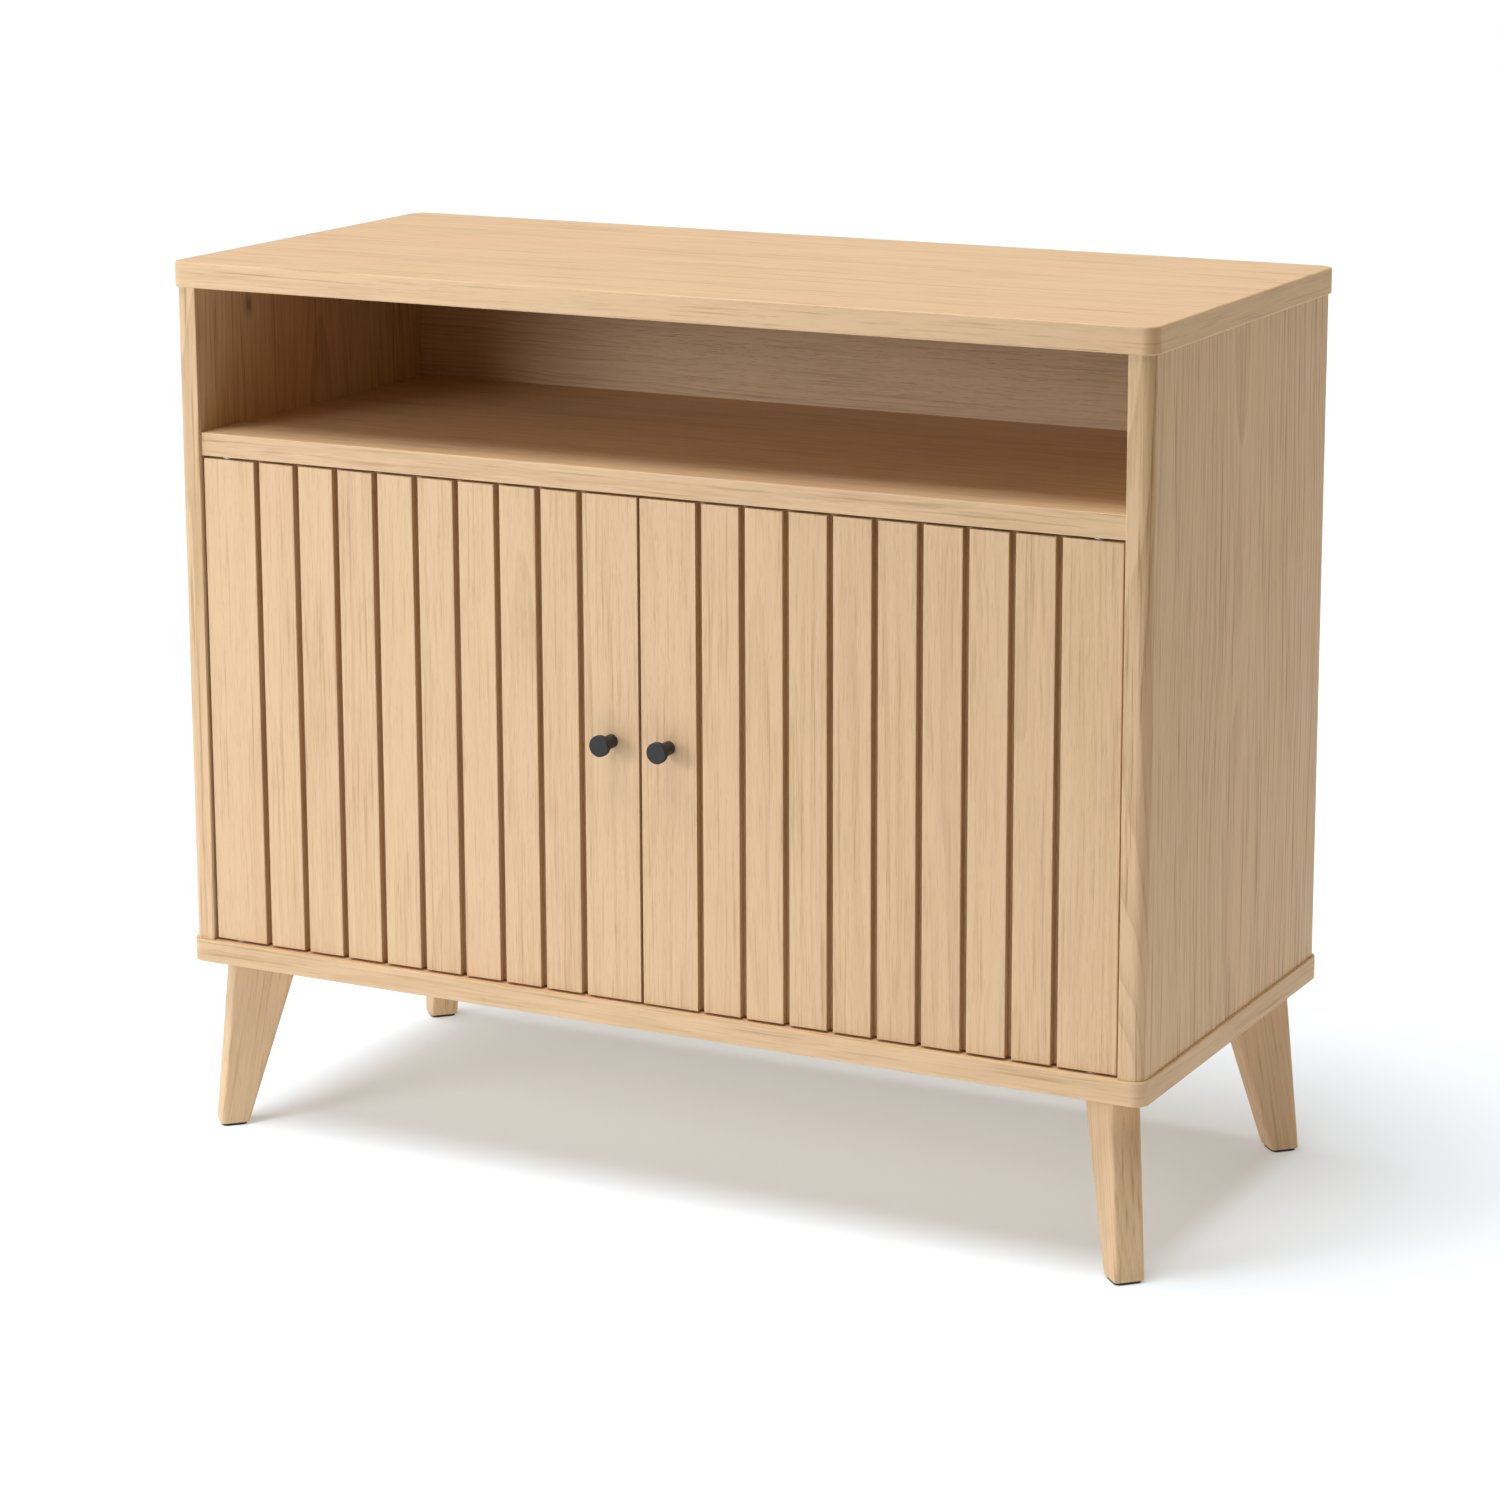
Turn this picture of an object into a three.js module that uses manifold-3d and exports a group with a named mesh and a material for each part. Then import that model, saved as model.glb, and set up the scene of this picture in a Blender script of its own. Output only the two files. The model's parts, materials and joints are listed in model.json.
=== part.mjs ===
// Media cabinet: an oak carcase on four splayed legs, with an open niche above
// a compartment closed by two slatted doors on pivot hinges.
// Millimetres, +Z up, front towards -Y. Origin: centre of the bounding box, on the floor.

import * as THREE from 'three';
import { mergeVertices } from 'three/addons/utils/BufferGeometryUtils.js';
import Module from 'manifold-3d';

const wasm = await Module();
wasm.setup();

// ---- Driving dimensions -------------------------------------------------

const cabinetWidth = 900;
const cabinetDepth = 400;
const cabinetHeight = 770;

const topThickness = 22;
const baseThickness = 20;
const sideThickness = 21;
const shelfThickness = 20;
const backThickness = 9;

const panelOverhang = 2.5; // top and base stand proud of the sides and of their front edges
const panelCornerRadius = 12.5; // vertical corners of the top and base
const sideCornerRadius = 10; // outer vertical edges of the side panels
const nicheHeight = 124.5;
const frontRecess = 3; // shelf and doors behind the front edges of the sides
const backRecess = 28; // back panel ahead of the rear edges of the top and base
const backGrooveDepth = 5;

const legHeight = 153; // floor to the underside of the base, glide included
const legTopWidth = 60;
const legFootWidth = 25;
const legThickness = 26;
const legSplay = 15; // how far the foot's outer edge stands out past the top's, along the diagonal
const legInset = 25; // middle of the leg's outer edge, from the front or rear and from the side
const glideInset = 1.5; // glide inside the foot, on all four sides
const glideHeight = 2;
const glideCornerRadius = 5;
const boltDiameter = 8;
const boltInLeg = 40;
const boltInBase = 13;

const doorThickness = 20;
const stileWidth = 51;
const slatCount = 8; // narrow slats between the two stiles of a door
const slatThickness = 7;
const grooveWidth = 5.5;

const pivotFromEdge = 22; // hinge axis, from the door's outer edge
const pivotBehindFront = 8; // hinge axis, from the door's front face
const pinDiameter = 8;
const pinInPanel = 10;
const pinInDoor = 14;
const pinFlangeRim = 2.5; // flange round the pin, wide enough to reach under the stile
const pinFlangeHeight = 1.2;
const bushWall = 1.8;
const bushLength = 16;

const knobHeadDiameter = 18;
const knobStemDiameter = 11.5;
const knobReach = 22.5; // how far the knob stands out from the door
const knobHeadLength = 5;
const knobConeLength = 4;
const knobChamfer = 0.8;
const knobRise = 8; // knob axis above the middle of the door
const screwDiameter = 4;
const screwHeadDiameter = 8;
const screwHeadHeight = 2.4;
const screwInKnob = 10;

const innerShelfThickness = 18;
const innerShelfSetback = 28; // front edge behind the back of the doors
const innerShelfCableGap = 22; // rear edge ahead of the back panel
const innerShelfPegRow = 3; // which row of peg holes carries the shelf, from the bottom
const pegHoleRows = 5;
const pegHolePitch = 32;
const pegHoleInset = 60; // peg holes from the shelf's front and rear edges
const pegDiameter = 5;
const pegInSide = 9;
const pegReach = 9;
const pegCollarDiameter = 8;
const pegCollarLength = 1.2;

const cableHoleDiameter = 60;
const cableHoleHeight = 90; // centre of the cable hole above the base panel
const cableHoleOffset = 180; // centre of the cable hole to the left of the middle

const catchWidth = 46;
const catchDepth = 15;
const catchHeight = 13;
const catchRim = 1; // catch past the outer edge of each strike plate
const strikeWidth = 16;
const strikeHeight = 12;
const strikeThickness = 1.2;

// ---- Clearances ---------------------------------------------------------

const glueLine = 0.1; // between faces that are glued or clamped together
const turnedGap = 0.3; // between the legs, which stand at an angle, and what they meet
const panelSlack = 0.5; // back panel in its grooves, to each edge and face
const doorSideGap = 2;
const doorMiddleGap = 2.5;
const doorEndGap = 2; // above and below a door
const boreGap = 0.3; // round each pin, screw, bolt and bush
const shelfSideGap = 0.6; // between an end of the inner shelf and its pegs' collars
const catchGap = 0.5;
const peggedGap = 0.2; // under the inner shelf, to its pegs

const roundSegments = 24;
const pegHoleSegments = 12;
const cornerSegments = 8;

// ---- Levels and faces worked out from them ------------------------------

const baseBottom = legHeight;
const baseTop = baseBottom + baseThickness;
const topBottom = cabinetHeight - topThickness;
const shelfTop = topBottom - nicheHeight;
const shelfBottom = shelfTop - shelfThickness;

const sideOuterX = cabinetWidth / 2 - panelOverhang;
const sideInnerX = sideOuterX - sideThickness;
const sideFrontY = -cabinetDepth / 2 + panelOverhang;
const sideRearY = cabinetDepth / 2 - panelOverhang;
const doorFrontY = sideFrontY + frontRecess;
const doorBackY = doorFrontY + doorThickness;
const backRearY = cabinetDepth / 2 - backRecess;
const backFrontY = backRearY - backThickness;

const doorBottom = baseTop + doorEndGap;
const doorTop = shelfBottom - doorEndGap;
const doorHeight = doorTop - doorBottom;
const doorWidth = sideInnerX - doorSideGap - doorMiddleGap / 2;
const knobLevel = doorBottom + doorHeight / 2 + knobRise;
const hingeX = sideInnerX - doorSideGap - pivotFromEdge;
const hingeY = doorFrontY + pivotBehindFront;
const strikeInset = (catchWidth - doorMiddleGap) / 2 - strikeWidth - catchRim; // from the meeting edge

const innerShelfFrontY = doorBackY + innerShelfSetback;
const innerShelfRearY = backFrontY - innerShelfCableGap;
const pegYs = [innerShelfFrontY + pegHoleInset, innerShelfRearY - pegHoleInset];
const pegRowMiddle = (baseTop + shelfBottom) / 2;
const pegLevels = Array.from({ length: pegHoleRows },
  (unused, row) => pegRowMiddle + (row - (pegHoleRows - 1) / 2) * pegHolePitch);
const pegLevel = pegLevels[innerShelfPegRow - 1];
const innerShelfBottom = pegLevel + pegDiameter / 2 + peggedGap;

const knobFrontY = doorFrontY - knobReach;
const frontExtent = Math.max(cabinetDepth / 2, -knobFrontY);
const depthShift = (frontExtent - cabinetDepth / 2) / 2; // centres the bounding box on Y

const SIDES = { left: -1, right: 1 };
const ENDS = { front: -1, rear: 1 };

// ---- Materials ----------------------------------------------------------

const oak = new THREE.MeshStandardMaterial({ color: 0xd8bd97, roughness: 0.55, metalness: 0 });
const backOak = new THREE.MeshStandardMaterial({ color: 0xb9a184, roughness: 0.6, metalness: 0 });
const slatOak = new THREE.MeshStandardMaterial({ color: 0xdcc29d, roughness: 0.55, metalness: 0 });
const blackMetal = new THREE.MeshStandardMaterial({ color: 0x1b1b1c, roughness: 0.5, metalness: 0.6 });
const steel = new THREE.MeshStandardMaterial({ color: 0xb8babd, roughness: 0.35, metalness: 1 });
const blackPlastic = new THREE.MeshStandardMaterial({ color: 0x161616, roughness: 0.7, metalness: 0 });
const nylon = new THREE.MeshStandardMaterial({ color: 0xe6e4de, roughness: 0.5, metalness: 0 });

// ---- Geometry helpers ---------------------------------------------------

function toSolid(geometry) {
  const bare = geometry.index ? geometry.toNonIndexed() : geometry.clone();
  bare.deleteAttribute('normal');
  bare.deleteAttribute('uv');
  const welded = mergeVertices(bare, 1e-4);
  return new wasm.Manifold(new wasm.Mesh({
    numProp: 3,
    vertProperties: new Float32Array(welded.attributes.position.array),
    triVerts: new Uint32Array(welded.index.array),
  }));
}

function toGeometry(solid) {
  const mesh = solid.getMesh();
  const geometry = new THREE.BufferGeometry();
  geometry.setAttribute('position', new THREE.BufferAttribute(mesh.vertProperties, 3));
  geometry.setIndex(new THREE.BufferAttribute(mesh.triVerts, 1));
  geometry.computeVertexNormals();
  return geometry;
}

function cutAway(geometry, cutters) {
  const solid = cutters.reduce((left, cutter) => left.subtract(toSolid(cutter)), toSolid(geometry));
  return toGeometry(solid);
}

// A block given by its lowest and highest corners.
function block(low, high) {
  const size = high.map((value, i) => value - low[i]);
  const middle = high.map((value, i) => (value + low[i]) / 2);
  return new THREE.BoxGeometry(...size).translate(...middle);
}

// A plate lying in XY with four corner radii, anticlockwise from the low-X, low-Y corner.
function roundedPlate(low, high, radii, thickness) {
  const [x0, y0] = low;
  const [x1, y1] = high;
  const centres = [
    [x0 + radii[0], y0 + radii[0]],
    [x1 - radii[1], y0 + radii[1]],
    [x1 - radii[2], y1 - radii[2]],
    [x0 + radii[3], y1 - radii[3]],
  ];
  const angles = centres.map((_, i) => Math.PI + i * Math.PI / 2);
  const starts = centres.map(([x, y], i) => [
    x + radii[i] * Math.cos(angles[i]),
    y + radii[i] * Math.sin(angles[i]),
  ]);
  const outline = new THREE.Shape();
  outline.moveTo(...starts[0]);
  centres.forEach(([x, y], i) => {
    if (radii[i] > 0) {
      outline.absarc(x, y, radii[i], angles[i], angles[i] + Math.PI / 2, false);
    }
    if (i + 1 < centres.length) {
      outline.lineTo(...starts[i + 1]);
    }
  });
  return new THREE.ExtrudeGeometry(outline, {
    depth: thickness, bevelEnabled: false, curveSegments: cornerSegments,
  });
}

// An upright cylinder from one level to another.
function upright(diameter, x, y, z0, z1) {
  return new THREE.CylinderGeometry(diameter / 2, diameter / 2, z1 - z0, roundSegments)
    .rotateX(Math.PI / 2)
    .translate(x, y, (z0 + z1) / 2);
}

// A turned piece along +Z from [radius, height] points that start and end on the axis.
function turned(profile) {
  const points = profile.map(([radius, height]) => new THREE.Vector2(radius, height));
  return new THREE.LatheGeometry(points, roundSegments).rotateX(Math.PI / 2);
}

function addMesh(parent, name, geometry, material) {
  const mesh = new THREE.Mesh(geometry, material);
  mesh.name = name;
  parent.add(mesh);
  return mesh;
}

// ---- Carcase ------------------------------------------------------------

function backGroove(z0, z1) {
  const x = sideInnerX + backGrooveDepth;
  return block([-x, backFrontY - panelSlack, z0], [x, backRearY + panelSlack, z1]);
}

function widePanel(thickness) {
  const x = cabinetWidth / 2;
  const y = cabinetDepth / 2;
  return roundedPlate([-x, -y], [x, y], Array(4).fill(panelCornerRadius), thickness);
}

function addTopPanel(carcase) {
  const panel = widePanel(topThickness).translate(0, 0, topBottom);
  const groove = backGroove(topBottom - 1, topBottom + backGrooveDepth);
  addMesh(carcase, 'top_panel', cutAway(panel, [groove]), oak);
}

function addBasePanel(carcase) {
  const panel = widePanel(baseThickness).translate(0, 0, baseBottom);
  const cutters = [backGroove(baseTop - backGrooveDepth, baseTop + 1)];
  for (const side of Object.values(SIDES)) {
    cutters.push(upright(pinDiameter + 2 * boreGap, side * hingeX, hingeY,
      baseTop - pinInPanel - boreGap, baseTop + 1));
  }
  for (const { x, y } of boltPlaces()) {
    cutters.push(upright(boltDiameter + 2 * boreGap, x, y,
      baseBottom - 1, baseBottom + boltInBase + boreGap));
  }
  addMesh(carcase, 'base_panel', cutAway(panel, cutters), oak);
}

// Each side has a groove for the back panel and two rows of peg holes on its inner face.
function addSidePanel(carcase, name, side) {
  const span = (x0, x1) => [side * x0, side * x1].sort((a, b) => a - b);
  const [x0, x1] = span(sideInnerX, sideOuterX);
  const radius = Math.min(sideCornerRadius, sideThickness);
  const radii = side < 0 ? [radius, 0, 0, radius] : [0, radius, radius, 0];
  const height = topBottom - baseTop - 2 * glueLine;
  const panel = roundedPlate([x0, sideFrontY], [x1, sideRearY], radii, height)
    .translate(0, 0, baseTop + glueLine);
  const [grooveX0, grooveX1] = span(sideInnerX - 1, sideInnerX + backGrooveDepth);
  const cutters = [block(
    [grooveX0, backFrontY - panelSlack, baseTop - 1],
    [grooveX1, backRearY + panelSlack, topBottom + 1],
  )];
  const holeLength = pegInSide + boreGap + 1;
  for (const level of pegLevels) {
    for (const y of pegYs) {
      cutters.push(new THREE.CylinderGeometry(pegDiameter / 2 + boreGap, pegDiameter / 2 + boreGap,
        holeLength, pegHoleSegments)
        .rotateZ(Math.PI / 2)
        .translate(side * (sideInnerX - 1 + holeLength / 2), y, level));
    }
  }
  addMesh(carcase, name, cutAway(panel, cutters), oak);
}

function addNicheShelf(carcase) {
  const x = sideInnerX - glueLine;
  const shelf = block([-x, doorFrontY, shelfBottom], [x, backFrontY - glueLine, shelfTop]);
  const bores = Object.values(SIDES).map((side) => upright(pinDiameter + 2 * boreGap,
    side * hingeX, hingeY, shelfBottom - 1, shelfBottom + pinInPanel + boreGap));
  addMesh(carcase, 'niche_shelf', cutAway(shelf, bores), oak);
}

function addBackPanel(carcase) {
  const x = sideInnerX + backGrooveDepth - panelSlack;
  const z0 = baseTop - backGrooveDepth + panelSlack;
  const z1 = topBottom + backGrooveDepth - panelSlack;
  const outline = new THREE.Shape();
  outline.moveTo(-x, z0).lineTo(x, z0).lineTo(x, z1).lineTo(-x, z1).closePath();
  const hole = new THREE.Path();
  hole.absarc(-cableHoleOffset, baseTop + cableHoleHeight, cableHoleDiameter / 2, 0, 2 * Math.PI, true);
  outline.holes.push(hole);
  const geometry = new THREE.ExtrudeGeometry(outline, {
    depth: backThickness, bevelEnabled: false, curveSegments: 2 * roundSegments,
  });
  geometry.rotateX(Math.PI / 2).translate(0, backRearY, 0);
  addMesh(carcase, 'back_panel', geometry, backOak);
}

function addInnerShelf(carcase) {
  const x = sideInnerX - glueLine - pegCollarLength - shelfSideGap;
  addMesh(carcase, 'inner_shelf', block(
    [-x, innerShelfFrontY, innerShelfBottom],
    [x, innerShelfRearY, innerShelfBottom + innerShelfThickness],
  ), oak);
  for (const [sideName, side] of Object.entries(SIDES)) {
    Object.keys(ENDS).forEach((endName, i) => {
      const radius = pegDiameter / 2;
      const peg = turned([
        [0, -pegInSide], [radius, -pegInSide], [radius, 0], [pegCollarDiameter / 2, 0],
        [pegCollarDiameter / 2, pegCollarLength], [radius, pegCollarLength], [radius, pegReach], [0, pegReach],
      ]);
      const mesh = addMesh(carcase, `shelf_peg_${endName}_${sideName}`, peg, steel);
      mesh.position.set(side * (sideInnerX - glueLine), pegYs[i], pegLevel);
      mesh.rotation.y = -side * Math.PI / 2;
    });
  }
}

// ---- Legs ---------------------------------------------------------------

function legPlaces() {
  return Object.entries(ENDS).flatMap(([endName, end]) => Object.entries(SIDES)
    .map(([sideName, side]) => ({
      name: `${endName}_${sideName}`,
      x: side * (cabinetWidth / 2 - legInset),
      y: end * (cabinetDepth / 2 - legInset),
      turn: Math.atan2(end, side),
    })));
}

function boltPlaces() {
  const inward = -legTopWidth / 2;
  return legPlaces().map(({ x, y, turn }) => ({
    x: x + inward * Math.cos(turn),
    y: y + inward * Math.sin(turn),
  }));
}

// A tapered plank on the diagonal: local X points out of the cabinet's corner.
function legGeometry() {
  const z0 = glideHeight + turnedGap;
  const z1 = baseBottom - turnedGap;
  const outline = new THREE.Shape();
  outline.moveTo(legSplay - legFootWidth, z0).lineTo(legSplay, z0).lineTo(0, z1)
    .lineTo(-legTopWidth, z1).closePath();
  const plank = new THREE.ExtrudeGeometry(outline, { depth: legThickness, bevelEnabled: false })
    .translate(0, 0, -legThickness / 2)
    .rotateX(Math.PI / 2);
  const bore = upright(boltDiameter + 2 * boreGap, -legTopWidth / 2, 0,
    baseBottom - boltInLeg - boreGap, baseBottom + 1);
  return cutAway(plank, [bore]);
}

function glideGeometry() {
  const low = [legSplay - legFootWidth + glideInset, -legThickness / 2 + glideInset];
  const high = [legSplay - glideInset, legThickness / 2 - glideInset];
  return roundedPlate(low, high, Array(4).fill(glideCornerRadius), glideHeight);
}

function addLegs(parent) {
  for (const { name, x, y, turn } of legPlaces()) {
    const corner = new THREE.Group();
    corner.position.set(x, y, 0);
    corner.rotation.z = turn;
    addMesh(corner, `leg_${name}`, legGeometry(), oak);
    addMesh(corner, `glide_${name}`, glideGeometry(), blackPlastic);
    const bolt = upright(boltDiameter, -legTopWidth / 2, 0, baseBottom - boltInLeg, baseBottom + boltInBase);
    addMesh(corner, `leg_bolt_${name}`, bolt, steel);
    parent.add(corner);
  }
}

// ---- Doors --------------------------------------------------------------

// Pins fixed in the base and in the underside of the niche shelf.
function addPivotPins(carcase, sideName, side) {
  const radius = pinDiameter / 2;
  const flange = radius + pinFlangeRim;
  const profile = [
    [0, -pinInPanel], [radius, -pinInPanel], [radius, glueLine], [flange, glueLine],
    [flange, glueLine + pinFlangeHeight], [radius, glueLine + pinFlangeHeight],
    [radius, doorEndGap + pinInDoor], [0, doorEndGap + pinInDoor],
  ];
  const lower = addMesh(carcase, `${sideName}_pivot_pin_bottom`, turned(profile), steel);
  lower.position.set(side * hingeX, hingeY, baseTop);
  const upper = addMesh(carcase, `${sideName}_pivot_pin_top`, turned(profile), steel);
  upper.position.set(side * hingeX, hingeY, shelfBottom);
  upper.rotation.x = Math.PI;
}

function bushGeometry() {
  const inner = pinDiameter / 2 + boreGap;
  const outer = inner + bushWall;
  const outline = new THREE.Shape();
  outline.absarc(0, 0, outer, 0, 2 * Math.PI, false);
  const hole = new THREE.Path();
  hole.absarc(0, 0, inner, 0, 2 * Math.PI, true);
  outline.holes.push(hole);
  return new THREE.ExtrudeGeometry(outline, {
    depth: bushLength, bevelEnabled: false, curveSegments: roundSegments,
  });
}

// Across a door, u runs from its outer edge to the meeting edge; v runs back from its front.
function addDoor(parent, sideName, side) {
  const door = new THREE.Group();
  door.position.set(side * hingeX, hingeY, doorBottom);
  parent.add(door);

  const localX = (u) => side * (pivotFromEdge - u);
  const localY = (v) => v - pivotBehindFront;
  const piece = (u0, u1, v0, v1, z0 = 0, z1 = doorHeight) => {
    const xs = [localX(u0), localX(u1)].sort((a, b) => a - b);
    return block([xs[0], localY(v0), z0], [xs[1], localY(v1), z1]);
  };
  const add = (name, geometry, material) => addMesh(door, `${sideName}_${name}`, geometry, material);

  // Hinge stile, bored for a bush at each end.
  const bushBore = pinDiameter + 4 * boreGap + 2 * bushWall;
  const bushDepth = bushLength + boreGap;
  add('door_hinge_stile', cutAway(piece(0, stileWidth, 0, doorThickness), [
    upright(bushBore, 0, 0, -1, bushDepth),
    upright(bushBore, 0, 0, doorHeight - bushDepth, doorHeight + 1),
  ]), slatOak);
  add('pivot_bush_bottom', bushGeometry(), nylon);
  add('pivot_bush_top', bushGeometry().translate(0, 0, doorHeight - bushLength), nylon);

  // Meeting stile, bored for the knob's screw.
  const knobU = doorWidth - stileWidth / 2;
  const knobZ = knobLevel - doorBottom;
  const screwBore = new THREE.CylinderGeometry(screwDiameter / 2 + boreGap, screwDiameter / 2 + boreGap,
    doorThickness + 2, roundSegments)
    .translate(localX(knobU), localY(doorThickness / 2), knobZ);
  add('door_meeting_stile', cutAway(
    piece(doorWidth - stileWidth, doorWidth, 0, doorThickness), [screwBore],
  ), slatOak);

  // Board between the stiles, with the narrow slats on its face.
  add('door_board', piece(stileWidth + glueLine, doorWidth - stileWidth - glueLine,
    slatThickness + glueLine, doorThickness), oak);
  const span = doorWidth - 2 * stileWidth - grooveWidth;
  const pitch = span / slatCount;
  for (let i = 0; i < slatCount; i += 1) {
    const u0 = stileWidth + grooveWidth + i * pitch;
    add(`door_slat_${i + 1}`, piece(u0, u0 + pitch - grooveWidth, 0, slatThickness), slatOak);
  }

  // Knob and its screw, turned about an axis that points out of the door's face.
  const knob = add('knob', knobGeometry(), blackMetal);
  knob.position.set(localX(knobU), localY(-glueLine), knobZ);
  knob.rotation.x = Math.PI / 2;
  const screw = add('knob_screw', screwGeometry(), steel);
  screw.position.set(localX(knobU), localY(doorThickness + glueLine), knobZ);
  screw.rotation.x = Math.PI / 2;

  const strikeU = doorWidth - strikeWidth / 2 - strikeInset;
  add('strike_plate', piece(strikeU - strikeWidth / 2, strikeU + strikeWidth / 2,
    doorThickness + glueLine, doorThickness + glueLine + strikeThickness,
    doorHeight - strikeHeight, doorHeight), steel);
}

function knobGeometry() {
  const stem = knobStemDiameter / 2;
  const head = knobHeadDiameter / 2;
  const length = knobReach - glueLine;
  const bore = screwDiameter / 2 + boreGap;
  return turned([
    [0, screwInKnob + boreGap], [bore, screwInKnob + boreGap], [bore, 0], [stem, 0],
    [stem, length - knobHeadLength - knobConeLength], [head, length - knobHeadLength],
    [head, length - knobChamfer], [head - knobChamfer, length], [0, length],
  ]);
}

function screwGeometry() {
  const shank = screwDiameter / 2;
  const head = screwHeadDiameter / 2;
  const length = doorThickness + 2 * glueLine + screwInKnob;
  return turned([
    [0, -screwHeadHeight], [head, -screwHeadHeight], [head, 0], [shank, 0], [shank, length], [0, length],
  ]);
}

function addCatch(carcase) {
  const frontY = doorBackY + glueLine + strikeThickness + catchGap;
  addMesh(carcase, 'magnet_catch', block(
    [-catchWidth / 2, frontY, shelfBottom - glueLine - catchHeight],
    [catchWidth / 2, frontY + catchDepth, shelfBottom - glueLine],
  ), blackPlastic);
}

// ---- Assembly -----------------------------------------------------------

const cabinet = new THREE.Group();
cabinet.name = 'media_cabinet';
cabinet.position.y = depthShift;

const carcase = new THREE.Group();
cabinet.add(carcase);
addTopPanel(carcase);
addSidePanel(carcase, 'side_panel_left', SIDES.left);
addSidePanel(carcase, 'side_panel_right', SIDES.right);
addNicheShelf(carcase);
addBasePanel(carcase);
addBackPanel(carcase);
addInnerShelf(carcase);
addLegs(carcase);
addCatch(carcase);
for (const [sideName, side] of Object.entries(SIDES)) {
  addPivotPins(carcase, sideName, side);
  addDoor(cabinet, sideName, side);
}

export default cabinet;
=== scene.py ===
"""Looks of an oak media cabinet: open niche, two slatted doors, four splayed legs."""

import json
import math
import random

import bmesh
import bpy
from mathutils import Matrix, Vector

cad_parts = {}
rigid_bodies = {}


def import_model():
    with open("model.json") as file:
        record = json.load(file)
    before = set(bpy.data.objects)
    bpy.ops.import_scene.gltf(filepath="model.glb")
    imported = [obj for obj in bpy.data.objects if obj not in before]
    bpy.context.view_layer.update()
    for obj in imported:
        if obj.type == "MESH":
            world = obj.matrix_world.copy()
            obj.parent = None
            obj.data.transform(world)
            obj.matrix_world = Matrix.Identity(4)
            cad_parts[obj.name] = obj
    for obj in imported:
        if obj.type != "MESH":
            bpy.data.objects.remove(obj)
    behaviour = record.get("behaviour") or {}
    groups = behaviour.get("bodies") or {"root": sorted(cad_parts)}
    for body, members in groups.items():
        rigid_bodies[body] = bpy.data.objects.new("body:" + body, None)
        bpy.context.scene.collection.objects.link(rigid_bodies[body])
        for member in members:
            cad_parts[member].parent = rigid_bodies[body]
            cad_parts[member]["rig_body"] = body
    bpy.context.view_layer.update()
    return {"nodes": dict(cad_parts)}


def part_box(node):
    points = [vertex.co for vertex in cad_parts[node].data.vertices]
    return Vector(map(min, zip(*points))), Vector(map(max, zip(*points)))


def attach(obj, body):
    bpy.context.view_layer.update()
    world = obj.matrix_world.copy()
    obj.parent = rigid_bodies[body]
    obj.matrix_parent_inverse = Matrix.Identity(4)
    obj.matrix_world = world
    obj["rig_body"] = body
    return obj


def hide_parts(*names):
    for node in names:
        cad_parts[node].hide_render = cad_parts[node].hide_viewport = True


bl_info = {
    "name": "Oak media cabinet",
    "version": (1, 0, 0),
    "blender": (4, 5, 0),
    "location": "View3D > Sidebar > Cabinet",
    "description": "Builds the finished pieces of a slatted oak media cabinet and its studio",
    "category": "Object",
}

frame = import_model()
NODES = frame["nodes"]

MM = 0.001
X_AXIS, Y_AXIS, Z_AXIS = Vector((1, 0, 0)), Vector((0, 1, 0)), Vector((0, 0, 1))
WELD = 0.01 * MM
FLAT_ANGLE = math.radians(0.5)
EDGE_ANGLE = math.radians(40)
SMOOTH_ANGLE = math.radians(38)
TOUCH = 0.3 * MM
SEED = 7
# Painted shade: how much darker the faces that line the door grooves are made, standing in for the
# shadow in the grooves.
GROOVE_PAINTED_SHADE = 8.0
MOSTLY = 0.9
DOORS = ("left", "right")
ENDS = ("front", "rear")
SLATS = range(1, 9)


# ---------------------------------------------------------------- settings


class CabinetEdges(bpy.types.PropertyGroup):
    """How far the edges of each piece are rounded over."""

    panel: bpy.props.FloatProperty(
        name="Panel edge", description="Rounding of the top and base panel edges",
        default=1.6 * MM, min=0, precision=4, unit="LENGTH")
    side: bpy.props.FloatProperty(
        name="Side edge", description="Rounding of the side panels' inner edges",
        default=0.9 * MM, min=0, precision=4, unit="LENGTH")
    shelf: bpy.props.FloatProperty(
        name="Shelf edge", description="Rounding of the shelves' front edges",
        default=1.0 * MM, min=0, precision=4, unit="LENGTH")
    slat: bpy.props.FloatProperty(
        name="Slat edge", description="Rounding of the slats and door stiles",
        default=0.9 * MM, min=0, precision=4, unit="LENGTH")
    leg: bpy.props.FloatProperty(
        name="Leg edge", description="Rounding of the legs' long edges",
        default=3.0 * MM, min=0, precision=4, unit="LENGTH")
    foot: bpy.props.FloatProperty(
        name="Foot edge", description="Rounding of the legs' lower ends",
        default=0.8 * MM, min=0, precision=4, unit="LENGTH")
    fitting: bpy.props.FloatProperty(
        name="Fitting edge", description="Rounding of the small metal and plastic fittings",
        default=0.35 * MM, min=0, precision=5, unit="LENGTH")
    steps: bpy.props.IntProperty(
        name="Steps", description="Number of faces across each rounded edge",
        default=4, min=1, max=12)


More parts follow.
